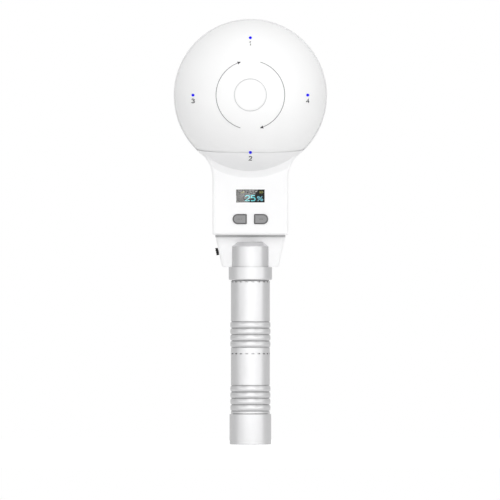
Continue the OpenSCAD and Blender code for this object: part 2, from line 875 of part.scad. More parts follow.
// The spigot with its chamfer in section, from below the collar's top; grow is the clearance of its seat
module spigot_section(grow) {
    polygon([[0, block_z - 1], [spigot_r + grow, block_z - 1], [spigot_r + grow, spigot_shoulder + grow / 2],
             [spigot_top_r + grow / 2, spigot_top + grow], [0, spigot_top + grow]]);
}

module mount_block() {
    foot_steps = [for (i = [0:4]) let (a = 22.5 * i)
        [block_z + block_foot_round * (1 - sin(a)), block_foot_round * (1 - cos(a))]];
    color("white") difference() {
        union() {
            loft(concat(
                [block_ring(block_top, block_top_w, -block_front, block_rear, block_corner)],
                [for (s = foot_steps) block_ring(s[0], block_width(s[0]) - s[1], -block_front,
                    block_rear - s[1], block_corner)]));
            box([-tenon_x, -tenon_front, block_top - eps], [tenon_x, tenon_rear, tenon_top]);
        }
        block_hollow();
        box([-tenon_x + tenon_wall, -tenon_front + tenon_wall, block_top - wall - 1],
            [tenon_x - tenon_wall, tenon_rear - tenon_wall, tenon_top + 1]);
        rotate_extrude() spigot_section(fit);
        left_and_right() translate([block_screw_x, block_screw_y, boss_low + 1])
            cylinder(r = m25_r + fit, h = big);
        for (z = socket_screw_z) {
            facing_back(0, 0, z) cylinder(r = m4_r + 0.15, h = big);
            facing_back(0, block_rear - socket_head_h - 0.2, z) cylinder(r = socket_head_r + 0.3, h = big);
        }
        translate([0, 0, lead_exit_z]) lead_direction()
            cylinder(r = lead_exit_r, h = spigot_r + saddle_wall + 1);
        on_left_wall() box(
            [-1, -stem_w / 2 - 0.3, -stem_len / 2 - switch_travel - 0.3],
            [wall + 0.5, stem_w / 2 + 0.3, stem_len / 2 + 0.3]);
    }
}

module block_screws() {
    color("dimgray") left_and_right() translate([block_screw_x, block_screw_y, floor_z])
        pan_screw(m25_r, block_screw_len, m25_head_r, m25_head_h);
}

module power_switch_body() {
    color("silver") on_left_wall() difference() {
        box([wall, -switch_body_w / 2, -switch_body_len / 2 - switch_travel / 2],
            [wall + switch_body_deep, switch_body_w / 2, switch_body_len / 2 - switch_travel / 2]);
        box([wall - 1, -stem_w / 2 - 0.25, -stem_len / 2 - switch_travel - 0.3],
            [stem_deep + 0.3, stem_w / 2 + 0.25, stem_len / 2 + 0.3]);
    }
}

module power_switch_knob() {
    color("black") on_left_wall() {
        difference() {
            box([-knob_proud, -knob_w / 2, -knob_len / 2], [-knob_gap, knob_w / 2, knob_len / 2]);
            for (z = [-1.8, 0, 1.8])
                translate([-knob_proud, knob_w / 2 + 1, z]) rotate([90, 0, 0])
                    cylinder(r = 0.35, h = knob_w + 2);
        }
        box([-knob_gap - eps, -stem_w / 2, -stem_len / 2], [stem_deep, stem_w / 2, stem_len / 2]);
    }
}

// ---- Collar and grip ----

module head_socket() {
    collar_round = 1.2;
    color("gainsboro") difference() {
        rotate_extrude() {
            translate([0, stud_z]) square([stud_r, block_z - stud_z]);
            difference() {
                translate([0, collar_z]) square([collar_r, block_z - collar_z]);
                translate([collar_r - collar_round, collar_z]) difference() {
                    square([collar_round, collar_round]);
                    translate([0, collar_round]) circle(r = collar_round);
                }
            }
            spigot_section(0);
        }
        translate([0, 0, stud_z - 1]) cylinder(r = lead_bore_r, h = lead_bore_top - stud_z + 1);
        translate([0, 0, lead_exit_z]) lead_direction() cylinder(r = lead_exit_r, h = collar_r + 1);
        for (z = socket_screw_z) facing_back(0, lead_bore_r + 1, z) cylinder(r = m4_r + fit, h = big);
    }
}

module socket_screws() {
    color("dimgray") for (z = socket_screw_z)
        facing_back(0, block_rear - socket_head_h - 0.2, z)
            pan_screw(m4_r, socket_screw_len, socket_head_r, socket_head_h);
}

module collar_washer() {
    color("gray") translate([0, 0, grip_top]) difference() {
        cylinder(r = grip_r - 0.6, h = collar_z - grip_top);
        translate([0, 0, -1]) cylinder(r = stud_r + fit, h = 3);
    }
}

// Ribs that bulge between the ring grooves, in section
module rib_section(low_z) {
    intersection() {
        for (i = [0:groove_count - 2])
            translate([grip_r + rib_rise - rib_arc_r, low_z + (i + 0.5) * groove_pitch])
                circle(r = rib_arc_r);
        translate([grip_r - 0.5, low_z]) square([2, groove_pitch * (groove_count - 1)]);
    }
}

module groove_section(low_z) {
    for (i = [0:groove_count - 1])
        translate([grip_r, low_z + i * groove_pitch]) circle(r = groove_w / 2);
}

module grip_tube() {
    edge = 0.15;
    color("gainsboro") difference() {
        rotate_extrude() difference() {
            union() {
                polygon([[cell_bore_r, grip_z], [grip_r - edge, grip_z], [grip_r, grip_z + edge],
                         [grip_r, grip_top - edge], [grip_r - edge, grip_top], [cell_bore_r, grip_top]]);
                rib_section(upper_set_z);
                rib_section(lower_set_z);
            }
            groove_section(upper_set_z);
            groove_section(lower_set_z);
            translate([0, grip_z - 1]) square([tail_spigot_r + fit, counter_top - grip_z + 1]);
        }
        for (i = [0:slot_count - 1]) rotate(i * 360 / slot_count + slot_phase - 90) {
            translate([grip_r - slot_deep, -slot_w / 2, slot_ring_z - slot_h / 2]) cube([2, slot_w, slot_h]);
            translate([grip_r - slot_deep, -slot_w / 2, grip_top - slot_h]) cube([2, slot_w, 2]);
        }
    }
}

module contact_board() {
    color("darkgreen") translate([0, 0, contact_board_z]) difference() {
        cylinder(r = cell_bore_r - 0.2, h = board_t);
        for (s = [-1, 1]) rotate(lead_exit_turn) translate([s * lead_gap, 0, -1])
            cylinder(r = lead_r + 0.1, h = 4);
    }
}

module positive_contact() {
    flange_t = 0.8;
    color("goldenrod") {
        translate([0, 0, contact_board_z - flange_t]) cylinder(r = 4, h = flange_t);
        translate([0, 0, contact_z + 0.1]) cylinder(r1 = 1.8, r2 = 2.4, h = 0.6);
        translate([0, 0, contact_z + 0.7 - eps])
            cylinder(r = 2.4, h = contact_board_z - flange_t - contact_z - 0.6);
    }
}

// Two wires: up the spigot's bore, out of its side, up through the block and forward to the main board's back.
// Points are distance from the axis along the exit direction, then height.
module power_leads() {
    z = lead_exit_z;
    rise = [[0, contact_board_z + board_t], [0, z - 3.5], [0.4, z - 1.7], [1.9, z - 0.3], [4, z],
            [lead_away - 3, z], [lead_away - 1, z + 0.6], [lead_away, z + 2.5], [lead_away, lead_end_z - 5]];
    aim = [-sin(lead_exit_turn), cos(lead_exit_turn)];
    side = [cos(lead_exit_turn), sin(lead_exit_turn)];
    bend = 2.5;
    for (s = [-1, 1]) {
        at = side * s * lead_gap;
        top = at + aim * lead_away;
        end_z = lead_end_z + s * 1.2;
        color(s < 0 ? "firebrick" : "black") swept(concat(
            [for (p = rise) [at.x + aim.x * p[0], at.y + aim.y * p[0], p[1]]],
            [[top.x, top.y, end_z - bend], [top.x, top.y - 0.8, end_z - 0.8],
             [top.x, top.y - bend, end_z], [top.x, split_y + 0.1, end_z]]),
            lead_r);
    }
}

module battery_cell() {
    color("steelblue") translate([0, 0, cell_z]) {
        cylinder(r = cell_r, h = cell_len - cell_nub_h);
        translate([0, 0, cell_len - cell_nub_h - eps]) cylinder(r = cell_nub_r, h = cell_nub_h + eps);
    }
}

// ---- Tail ----

module tail_contact() {
    color("goldenrod") translate([0, 0, plate_z]) {
        cylinder(r = plate_r, h = plate_t);
        cylinder(r = 4.5, h = plate_t + 1.5);
    }
}

module tail_spring() {
    low = plate_z + plate_t + spring_wire;
    high = cell_z - 0.2 - spring_wire;
    color("silver") translate([0, 0, low])
        coil(spring_low_r, spring_high_r, high - low, spring_turns, spring_wire);
}

module tail_cap() {
    edge = 0.3;
    color("gainsboro") difference() {
        rotate_extrude() difference() {
            union() {
                polygon([[0, 0], [tail_r - edge, 0], [tail_r, edge], [tail_r, tail_h - edge],
                         [tail_r - edge, tail_h], [0, tail_h]]);
                translate([0, tail_h - 1]) square([tail_spigot_r, tail_spigot_top - tail_h + 1]);
            }
            translate([0, tail_floor]) square([tail_bore, big]);
            translate([0, -1]) square([insert_r, insert_h + 1]);
            translate([tail_spigot_r - seal_groove, seal_z - seal_r - 0.12]) square([2, 2 * seal_r + 0.24]);
        }
    }
}

module tail_seal() {
    color("black") translate([0, 0, seal_z])
        rotate_extrude() translate([tail_spigot_r - seal_groove + seal_r + 0.02, 0])
            circle(r = seal_r);
}

module tripod_insert() {
    color("goldenrod") difference() {
        cylinder(r = insert_r, h = insert_h);
        translate([0, 0, -1]) cylinder(r = socket_r, h = socket_depth + 1);
    }
}

dome();
centre_window();
dome_carrier_ring();
shutter_disc();
bearing_ring();
retaining_ring();
retaining_ring_screws();
friction_felt();
sensor_board();
photodiodes();
sensor_board_screws();
sensor_ribbon();
front_housing();
rear_cover();
housing_screws();
display_window();
display_module();
main_board();
main_board_screws();
button_switches();
button_left();
button_right();
block_gasket();
mount_block();
block_screws();
power_switch_body();
power_switch_knob();
head_socket();
socket_screws();
collar_washer();
grip_tube();
contact_board();
positive_contact();
power_leads();
battery_cell();
tail_contact();
tail_spring();
tail_cap();
tail_seal();
tripod_insert();
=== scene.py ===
"""Looks of the handheld light meter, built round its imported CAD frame. Lengths are in metres."""

import json
import math

import bmesh
import bpy
from mathutils import Euler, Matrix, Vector


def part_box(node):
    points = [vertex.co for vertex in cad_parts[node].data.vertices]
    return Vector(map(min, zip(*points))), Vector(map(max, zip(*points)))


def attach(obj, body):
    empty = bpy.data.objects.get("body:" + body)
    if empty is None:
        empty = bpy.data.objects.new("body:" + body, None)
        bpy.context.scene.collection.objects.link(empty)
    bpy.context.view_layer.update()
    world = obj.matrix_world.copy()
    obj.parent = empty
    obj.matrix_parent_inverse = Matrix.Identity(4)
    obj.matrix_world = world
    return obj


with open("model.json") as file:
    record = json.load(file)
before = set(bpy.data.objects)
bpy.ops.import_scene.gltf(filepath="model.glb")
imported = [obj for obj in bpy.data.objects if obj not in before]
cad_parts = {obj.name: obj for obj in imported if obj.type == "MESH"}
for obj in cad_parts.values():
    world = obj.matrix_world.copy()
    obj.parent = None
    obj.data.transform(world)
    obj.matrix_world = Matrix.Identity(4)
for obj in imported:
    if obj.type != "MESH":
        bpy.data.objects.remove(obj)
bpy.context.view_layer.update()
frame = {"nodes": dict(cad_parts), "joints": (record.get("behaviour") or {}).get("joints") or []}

MM = 0.001

# ---- Places, worked out from the frame ----

DOME_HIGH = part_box("dome")[1]
DOME_R = DOME_HIGH.x
HEAD_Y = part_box("rear_cover")[0].y
HEAD_Z = DOME_HIGH.z - DOME_R

PANE_LOW, PANE_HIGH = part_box("display_window")
PANE_Z = (PANE_LOW.z + PANE_HIGH.z) / 2
GLASS_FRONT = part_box("display_module")[0].y

# The chin's sphere lies a little below the dome's centre and behind it
CHIN_R = 59.1 * MM
CHIN_LOW = 3.1 * MM
CHIN_BACK = 0.7 * MM
# Its upper edge lies in a plane that passes under the dome's centre and falls towards the front
CHIN_DROP = 43.6 * MM
CHIN_TILT = math.radians(3.6)
# Its wall, inside and outside the sphere: the distance from the sphere where the painted shade on the wall
# starts, and the one where it is full
CHIN_SHADE_WALL = ((-1.0 * MM, -0.2 * MM), (0.25 * MM, 0.1 * MM))

# ---- Prints on the dome, seen from the front ----

INK = 0.03 * MM
WELD = 0.001 * MM       # corners nearer than this are one
LEAST_MITRE = 0.6       # cosine that ends the growth of a mitre at a sharp bend
ROW_EXTRA = 0.001       # share of the radius added to each row of a disc, so that none ends in a point
DOT_RING = 45.8 * MM
DOT_R = 1.2 * MM
DOT_GAP = 0.05          # share of the dot's radius left free on each side of the line between dome and chin
LABEL_DROP = 4.65 * MM
LABEL_SIZE = (3.0 * MM, 3.7 * MM)
LABEL_LINE = 0.7 * MM
ARC_R = 27.4 * MM
ARC_LINE = 0.5 * MM
ARC_START = math.radians(17)
ARROW_LEN = 2.2 * MM
ARROW_HALF_W = 1.3 * MM
ARROW_TIP = 0.35        # the tip's width as a share of the arrowhead's
ARROW_BARE = 0.8        # share of the arrowhead's length that the arc's line leaves free
RING_INNER = 12.6 * MM  # the line round the centre window
RING_OUTER = 13.1 * MM

# ---- Figures and marks on the display and the buttons, placed from the pane's or the button's middle ----

# Name, figure, width and height, width of the strokes, place, pixels
READING = (
    ("tens", "2", (4.4 * MM, 4.9 * MM), 0.72 * MM, (-2.35 * MM, -1.7 * MM), "pixels_cyan"),
    ("units", "5", (4.1 * MM, 4.9 * MM), 0.72 * MM, (2.15 * MM, -1.7 * MM), "pixels_cyan"),
    ("per_cent", "%", (5.3 * MM, 4.2 * MM), 0.6 * MM, (7.7 * MM, -2.1 * MM), "pixels_dim"),
)
BARS_AT = (-8.2 * MM, 2.2 * MM)
BAR_COUNT = 4
BAR_PITCH = 0.9 * MM
BAR_W = 0.5 * MM
BAR_RISE = 0.45 * MM
BATTERY_LOW = (7.2 * MM, 2.1 * MM)
BATTERY_HIGH = (9.8 * MM, 3.8 * MM)
BATTERY_RIM = 0.25 * MM
BATTERY_LEVEL_END = 1 * MM
NUB_GAP = 0.05 * MM
NUB_END = 0.35 * MM

MARK_DOT_PITCH = 1.3 * MM
MARK_DOT_R = 0.32 * MM
MARK_BAR_HALF = (1.7 * MM, 0.17 * MM)

# ---- Thread of the tripod insert: 20 turns to the inch ----

THREAD_PITCH = 1.27 * MM
THREAD_ROOT_R = 2.61 * MM
THREAD_CREST_R = 2.35 * MM
THREAD_FLANK = 0.42     # share of the pitch that each flank takes
THREAD_LEN = 8.6 * MM
THREAD_START = 0.3 * MM
THREAD_STEPS = 24       # per turn

# ---- View and stage ----

# Square from the front through a long lens
VIEW_DISTANCE = 18.0
VIEW_WIDTH = 0.4
VIEW_X = -0.3 * MM
VIEW_Z = 155.6 * MM

WORLD_LEVEL = 0.58
FLOOR_HALF = 1.2
FLOOR_GAP = 0.2 * MM
FLOOR_WHITE = 0.85
FLOOR_GLOW = 0.65

OBJECT_MIDDLE = (0, 0, 0.2)
STRIP_Z = 0.07
STRIP_H = 0.2
# Each light is its name, place, width, height (a round one has none) and watts.
# The front box starts above the display's height, so that its glass doesn't mirror it
FRONT_BOX = ("front_high", (0.1, -1.6, 0.66), 1.5, 0.76, 7.9)
# Low strips that only glossy surfaces mirror: a bright one in front, two weaker ones beside it
STRIPS = (
    ("strip_front", (0, -1.6, STRIP_Z), 2.4, STRIP_H, 9.0),
    ("strip_left", (-1.3, -1.05, STRIP_Z), 1.2, STRIP_H, 2.7),
    ("strip_right", (1.3, -1.05, STRIP_Z), 1.2, STRIP_H, 3.8),
)
SOFT_LIGHTS = (
    ("right_soft", (1.3, -0.6, 0.6), 0.9, None, 2.6),
    ("left_soft", (-1.3, -0.6, 0.6), 0.9, None, 1.4),
    ("top_soft", (-0.1, -0.6, 1.5), 1.0, None, 3.6),
)

# A small warm card whose slanted edge shows in the display's glass
CARD_DISTANCE = 0.5
CARD_SIZE = 34 * MM
CARD_WATTS = 0.027
CARD_LEAN = math.radians(51)
CARD_EDGE_X = 0.4 * MM
CARD_COLOUR = (1.0, 0.96, 0.94)


# ---- Materials ----

# Nearly all of a noise lies between these
NOISE_LOW = 0.3
NOISE_HIGH = 0.7
# How open a place is where the painted shade in recesses starts, and where it is full
RECESS_SHADE_NONE = 0.85
RECESS_SHADE_FULL = 0.35
PIXEL_PLAY = 0.15       # how far a pixel's light strays from its level


def shader_of(material):
    return material.node_tree.nodes["Principled BSDF"]


def node_material(name):
    material = bpy.data.materials.new(name)
    material.use_nodes = True
    return material, material.node_tree, shader_of(material)


def noise(tree, size, detail=2.0, stretch=(1, 1, 1)):
    """A noise whose features are about size across, finer along the axes where stretch is large."""
    place = tree.nodes.new("ShaderNodeTexCoord")
    mapping = tree.nodes.new("ShaderNodeMapping")
    texture = tree.nodes.new("ShaderNodeTexNoise")
    mapping.inputs["Scale"].default_value = stretch
    texture.inputs["Scale"].default_value = 1 / size
    texture.inputs["Detail"].default_value = detail
    tree.links.new(place.outputs["Object"], mapping.inputs["Vector"])
    tree.links.new(mapping.outputs["Vector"], texture.inputs["Vector"])
    return texture.outputs["Fac"]


def ramp_up(tree, value, start, end, low=0.0, high=1.0):
    """Low where a value is at start or beyond it, high where it is at end or beyond it."""
    ramp = tree.nodes.new("ShaderNodeMapRange")
    ramp.inputs["From Min"].default_value = start
    ramp.inputs["From Max"].default_value = end
    ramp.inputs["To Min"].default_value = low
    ramp.inputs["To Max"].default_value = high
    tree.links.new(value, ramp.inputs["Value"])
    return ramp.outputs["Result"]


def spread(tree, factor, low, high):
    """Turns a noise into a number from low to high."""
    return ramp_up(tree, factor, NOISE_LOW, NOISE_HIGH, low, high)


def two_tone(tree, factor, dark, light):
    """A colour between two, dark where the factor is 0 and light where it is 1."""
    mix = tree.nodes.new("ShaderNodeMix")
    mix.data_type = "RGBA"
    mix.inputs["A"].default_value = (*dark, 1)
    mix.inputs["B"].default_value = (*light, 1)
    tree.links.new(factor, mix.inputs["Factor"])
    return mix.outputs["Result"]


def surface(name, colour, rough, metal=0.0, tone=0.02, tone_size=20 * MM, grain=0.4 * MM,
            depth=0.004 * MM, stretch=(1, 1, 1), rough_play=0.04, coat=0.0):
    """A procedural surface: a slow drift of tone and gloss, and a fine grain in its relief."""
    material, tree, shader = node_material(name)
    drift = noise(tree, tone_size, detail=3.0)
    dark = [c * (1 - tone) for c in colour]
    light = [min(1.0, c * (1 + tone)) for c in colour]
    tree.links.new(two_tone(tree, spread(tree, drift, 0, 1), dark, light), shader.inputs["Base Color"])
    tree.links.new(spread(tree, drift, rough - rough_play, rough + rough_play), shader.inputs["Roughness"])
    bump = tree.nodes.new("ShaderNodeBump")
    bump.inputs["Strength"].default_value = 1.0
    bump.inputs["Distance"].default_value = depth
    tree.links.new(noise(tree, grain, detail=2.0, stretch=stretch), bump.inputs["Height"])
    tree.links.new(bump.outputs["Normal"], shader.inputs["Normal"])
    shader.inputs["Metallic"].default_value = metal
    shader.inputs["Coat Weight"].default_value = coat
    return material


def facing(tree, axis, low, high):
    """1 on faces whose normal's part along an axis is at high or beyond it, falling to 0 at low."""
    geometry = tree.nodes.new("ShaderNodeNewGeometry")
    split = tree.nodes.new("ShaderNodeSeparateXYZ")
    tree.links.new(geometry.outputs["True Normal"], split.inputs["Vector"])
    return ramp_up(tree, split.outputs[axis], low, high)


def multiplied(tree, one, two):
    product = tree.nodes.new("ShaderNodeMath")
    product.operation = "MULTIPLY"
    tree.links.new(one, product.inputs[0])
    tree.links.new(two, product.inputs[1])
    return product.outputs[0]


def tinted(material, factor, tint):
    """Multiplies a surface's own colour by a tint where the factor is 1, and leaves it where it is 0."""
    tree, shader = material.node_tree, shader_of(material)
    plain = shader.inputs["Base Color"].links[0].from_socket
    mix = tree.nodes.new("ShaderNodeMix")
    mix.data_type = "RGBA"
    mix.blend_type = "MULTIPLY"
    mix.inputs["B"].default_value = (*tint, 1)
    tree.links.new(factor, mix.inputs["Factor"])
    tree.links.new(plain, mix.inputs["A"])
    tree.links.new(mix.outputs["Result"], shader.inputs["Base Color"])
    return material


def with_painted_recess_shade(material, reach, shade_tint):
    """Painted shade: darkens a surface's own colour in grooves and slots, where ambient occlusion finds
    light shut out.
    """
    tree = material.node_tree
    cavity = tree.nodes.new("ShaderNodeAmbientOcclusion")
    cavity.samples = 8
    cavity.inputs["Distance"].default_value = reach
    return tinted(material, ramp_up(tree, cavity.outputs["AO"], RECESS_SHADE_NONE, RECESS_SHADE_FULL), shade_tint)


def housing_plastic(name, white=0.93):
    material = surface(name, (white, white, white + 0.005), 0.42, tone=0.006, grain=0.35 * MM,
                       depth=0.003 * MM)
    shader_of(material).inputs["Specular IOR Level"].default_value = 0.3
    return material


def front_plastic_painted_chin_shade():
    """The housing's plastic with painted shade: a little greyer where the chin's sphere faces the front,
    standing for the shade on that downward-facing surface.
    """
    material = housing_plastic("front_plastic_painted_chin_shade")
    tree = material.node_tree
    place = tree.nodes.new("ShaderNodeTexCoord")
    reach = tree.nodes.new("ShaderNodeVectorMath")
    reach.operation = "DISTANCE"
    reach.inputs[1].default_value = (0, HEAD_Y + CHIN_BACK, HEAD_Z - CHIN_LOW)
    tree.links.new(place.outputs["Object"], reach.inputs[0])
    radius = reach.outputs["Value"]
    sides = [ramp_up(tree, radius, CHIN_R + start, CHIN_R + full) for start, full in CHIN_SHADE_WALL]
    on_wall = multiplied(tree, *sides)
    painted_chin_shade = multiplied(tree, on_wall, facing(tree, "Y", 0.0, -0.1))
    # Painted shade: the chin's front-facing wall is darkened as if it were turned away from the light
    return tinted(material, painted_chin_shade, tint=(0.985, 0.985, 0.985))


def rear_plastic_painted_rim_shade():
    """The housing's plastic with painted shade: greyer where it faces the front, on the narrow step round
    the dome, standing for the shade at the ball's curving edge.
    """
    material = housing_plastic("rear_plastic_painted_rim_shade")
    # Painted shade: faces turned to the front are darkened to 0.8
    return tinted(material, facing(material.node_tree, "Y", -0.6, -0.9), tint=(0.8, 0.8, 0.8))


def diffuser_plastic():
    """Milky plastic that light enters a little way."""
    material = surface("diffuser_plastic", (0.93, 0.93, 0.93), 0.5, tone=0.006, tone_size=35 * MM,
                       grain=0.25 * MM, depth=0.002 * MM)
    shader = shader_of(material)
    shader.inputs["Subsurface Weight"].default_value = 0.15
    shader.inputs["Subsurface Radius"].default_value = (1.0, 1.0, 1.0)
    shader.inputs["Subsurface Scale"].default_value = 1.5 * MM
    return material


def satin_metal(name="satin_metal"):
    """Bead-blasted and turned: lines run round the axis, so the grain is fine along Z only."""
    material = surface(name, (0.49, 0.49, 0.495), 0.38, metal=0.5, tone=0.01, tone_size=30 * MM,
                       grain=4 * MM, depth=0.004 * MM, stretch=(1, 1, 25), rough_play=0.03)
    # Painted shade: the metal's colour is darkened in its grooves and slots
    return with_painted_recess_shade(material, reach=1.2 * MM, shade_tint=(0.5, 0.5, 0.5))


def socket_metal_painted_light():
    """The grip's metal with painted light: faces that look upwards, such as the chamfer on the spigot's top
    edge, are made half as bright again.
    """
    material = satin_metal("socket_metal_painted_light")
    # Painted light: upward-facing faces are brightened by 1.5
    return tinted(material, facing(material.node_tree, "Z", 0.3, 0.5), tint=(1.5, 1.5, 1.5))


def machined_metal():
    return surface("machined_metal", (0.6, 0.61, 0.63), 0.35, metal=1.0, grain=3 * MM, depth=0.003 * MM,
                   stretch=(1, 20, 20))


def screw_steel():
    return surface("screw_steel", (0.12, 0.12, 0.13), 0.38, metal=0.9, grain=0.3 * MM, depth=0.004 * MM)


def bright_steel():
    return surface("bright_steel", (0.62, 0.62, 0.64), 0.28, metal=1.0, grain=0.5 * MM, depth=0.002 * MM)


def brass():
    return surface("brass", (0.72, 0.52, 0.24), 0.3, metal=1.0, tone=0.05, grain=2 * MM, depth=0.003 * MM,
                   stretch=(1, 1, 20))


def button_rubber_painted_rim_shade():
    """Grey rubber with painted shade: the bevelled rim, which turns away from the front, is darker than the
    face.
    """
    material, tree, shader = node_material("button_rubber_painted_rim_shade")
    rim, face = (0.11, 0.11, 0.112), (0.262, 0.262, 0.266)
    # Painted shade: faces tilted away from the front take the darker rim colour
    tree.links.new(two_tone(tree, facing(tree, "Y", -0.9, -0.98), rim, face), shader.inputs["Base Color"])
    bump = tree.nodes.new("ShaderNodeBump")
    bump.inputs["Distance"].default_value = 0.006 * MM
    tree.links.new(noise(tree, 0.2 * MM), bump.inputs["Height"])
    tree.links.new(bump.outputs["Normal"], shader.inputs["Normal"])
    tree.links.new(spread(tree, noise(tree, 4 * MM), 0.58, 0.68), shader.inputs["Roughness"])
    return material


def gasket_rubber():
    return surface("gasket_rubber", (0.52, 0.52, 0.525), 0.7, tone=0.02, tone_size=6 * MM, grain=0.25 * MM,
                   depth=0.008 * MM)


def seal_rubber():
    return surface("seal_rubber", (0.02, 0.02, 0.02), 0.45, grain=0.3 * MM)


def washer_plastic_painted_gap_shade():
    # The washer is a real piece; its mid grey is painted shade, chosen to give the dark line of the gap
    # between collar and tube
    return surface("washer_plastic_painted_gap_shade", (0.36, 0.36, 0.365), 0.5, grain=0.3 * MM)


def knob_plastic():
    material = surface("knob_plastic", (0.004, 0.004, 0.0045), 0.6, tone=0.1, tone_size=3 * MM,
                       grain=0.15 * MM, depth=0.006 * MM)
    shader_of(material).inputs["Specular IOR Level"].default_value = 0.15
    return material


def felt():
    return surface("felt", (0.05, 0.05, 0.055), 0.95, tone=0.25, tone_size=1 * MM, grain=0.2 * MM,
                   depth=0.05 * MM)


def grey_moulding():
    return surface("grey_moulding", (0.62, 0.62, 0.62), 0.5, grain=0.4 * MM)


def shutter_plastic():
    return surface("shutter_plastic", (0.05, 0.05, 0.052), 0.7, grain=0.3 * MM)


def board_mask():
    return surface("board_mask", (0.015, 0.11, 0.05), 0.35, tone=0.25, tone_size=1.6 * MM, grain=1.2 * MM,
                   depth=0.02 * MM, coat=0.2)


def diode_plastic():
    return surface("diode_plastic", (0.03, 0.035, 0.06), 0.12, tone=0.2, tone_size=2 * MM, coat=0.5)


def display_glass():
    material, tree, shader = node_material("display_glass")
    tree.links.new(two_tone(tree, noise(tree, 6 * MM), (0.005, 0.006, 0.006), (0.008, 0.009, 0.009)),
                   shader.inputs["Base Color"])
    shader.inputs["Roughness"].default_value = 0.0
    return material


def ribbon_film():
    return surface("ribbon_film", (0.6, 0.6, 0.55), 0.35, tone=0.12, tone_size=0.6 * MM, grain=0.5 * MM,
                   depth=0.02 * MM, stretch=(1, 0.1, 0.1))


def wire_insulation():
    return surface("wire_insulation", (0.35, 0.02, 0.018), 0.4, grain=0.3 * MM)


def cell_wrap():
    return surface("cell_wrap", (0.03, 0.12, 0.3), 0.3, tone=0.06, tone_size=15 * MM, grain=1 * MM,
                   depth=0.01 * MM, coat=0.2)


def clear_pane():
    """Tinted but without gloss of its own: the display's glass just behind it carries the reflections."""
    material, tree, shader = node_material("clear_pane")
    tree.links.new(two_tone(tree, noise(tree, 5 * MM), (0.85, 0.86, 0.86), (0.88, 0.89, 0.89)),
                   shader.inputs["Base Color"])
    shader.inputs["Transmission Weight"].default_value = 1.0
    shader.inputs["Roughness"].default_value = 0.0
    shader.inputs["IOR"].default_value = 1.0
    return material


def ink(name, colour):
    material = surface(name, colour, 0.5, tone=0.08, tone_size=0.6 * MM, grain=0.1 * MM, depth=0.001 * MM)
    shader_of(material).inputs["Specular IOR Level"].default_value = 0.1
    return material


def lit(name, colour, strength=1.0):
    """Pixels of the display that shine, a little unevenly."""
    material, tree, shader = node_material(name)
    shader.inputs["Base Color"].default_value = (0.01, 0.01, 0.01, 1)
    shader.inputs["Roughness"].default_value = 0.0
    shader.inputs["Emission Color"].default_value = (*colour, 1)
    tree.links.new(spread(tree, noise(tree, 0.35 * MM), strength * (1 - PIXEL_PLAY),
                          strength * (1 + PIXEL_PLAY)), shader.inputs["Emission Strength"])
    return material


def dress(names, material):
    for name in names:
        for slot in frame["nodes"][name].material_slots:
            slot.material = material


def dress_frame():
    # Painted light: the block's plastic is whiter than the housing's to make up for the shade under the
    # neck's overhang
    dress(["mount_block"], housing_plastic("block_plastic_painted_light", white=0.965))
    dress(["front_housing"], front_plastic_painted_chin_shade())
    dress(["rear_cover"], rear_plastic_painted_rim_shade())
    dress(["dome", "centre_window"], diffuser_plastic())
    dress(["grip_tube", "tail_cap"], satin_metal())
    dress(["head_socket"], socket_metal_painted_light())
    dress(["bearing_ring", "retaining_ring"], machined_metal())
    dress(["retaining_ring_screws", "housing_screws", "block_screws", "socket_screws"], screw_steel())
    dress(["sensor_board_screws", "main_board_screws", "power_switch_body", "tail_spring"], bright_steel())
    dress(["tripod_insert", "tail_contact", "positive_contact"], brass())
    dress(["button_left", "button_right"], button_rubber_painted_rim_shade())
    dress(["block_gasket"], gasket_rubber())
    dress(["tail_seal"], seal_rubber())
    dress(["collar_washer"], washer_plastic_painted_gap_shade())
    dress(["power_switch_knob", "button_switches"], knob_plastic())
    dress(["friction_felt"], felt())
    dress(["dome_carrier_ring"], grey_moulding())
    dress(["shutter_disc"], shutter_plastic())
    dress(["sensor_board", "main_board", "contact_board"], board_mask())
    dress(["photodiodes"], diode_plastic())
    dress(["display_module"], display_glass())
    dress(["sensor_ribbon"], ribbon_film())
    dress(["power_leads"], wire_insulation())
    dress(["battery_cell"], cell_wrap())
    dress(["display_window"], clear_pane())


# ---- Prints: thin solids laid on a surface. u runs right, v up and w out of the surface. ----

def on_sphere(radius, low=0.0, back=0.0):
    """On a sphere whose centre lies below the head's centre and behind it."""
    def place(u, v, w):
        depth = math.sqrt((radius + w) ** 2 - u * u - (v + low) ** 2)
        return Vector((u, HEAD_Y + back - depth, HEAD_Z + v))
    return place


def on_plane(x, y, z):
    """On a plane that faces the front, from the middle given."""
    def place(u, v, w):
        return Vector((x + u, y - w, z + v))
    return place


ON_DOME = on_sphere(DOME_R)
ON_CHIN = on_sphere(CHIN_R, CHIN_LOW, CHIN_BACK)
ON_SCREEN = on_plane(0, GLASS_FRONT, PANE_Z)


def add_piece(name, mesh, body, material):
    piece = bpy.data.objects.new(name, mesh)
    bpy.context.scene.collection.objects.link(piece)
    mesh.materials.clear()
    mesh.materials.append(material)
    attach(piece, body)


def patch(name, loops, place, body, material):
    """A thin solid over flat faces given as loops of (u, v), laid on a surface by place."""
    form = bmesh.new()
    for loop in loops:
        form.faces.new([form.verts.new((u, v, 0)) for u, v in loop])
    bmesh.ops.remove_doubles(form, verts=form.verts, dist=WELD)
    raised = bmesh.ops.extrude_face_region(form, geom=form.faces[:])
    for part in raised["geom"]:
        if isinstance(part, bmesh.types.BMVert):
            part.co.z += INK
    bmesh.ops.recalc_face_normals(form, faces=form.faces[:])
    for vert in form.verts:
        vert.co = place(*vert.co)
    bmesh.ops.recalc_face_normals(form, faces=form.faces[:])
    mesh = bpy.data.meshes.new(name)
    form.to_mesh(mesh)
    form.free()
    add_piece(name, mesh, body, material)


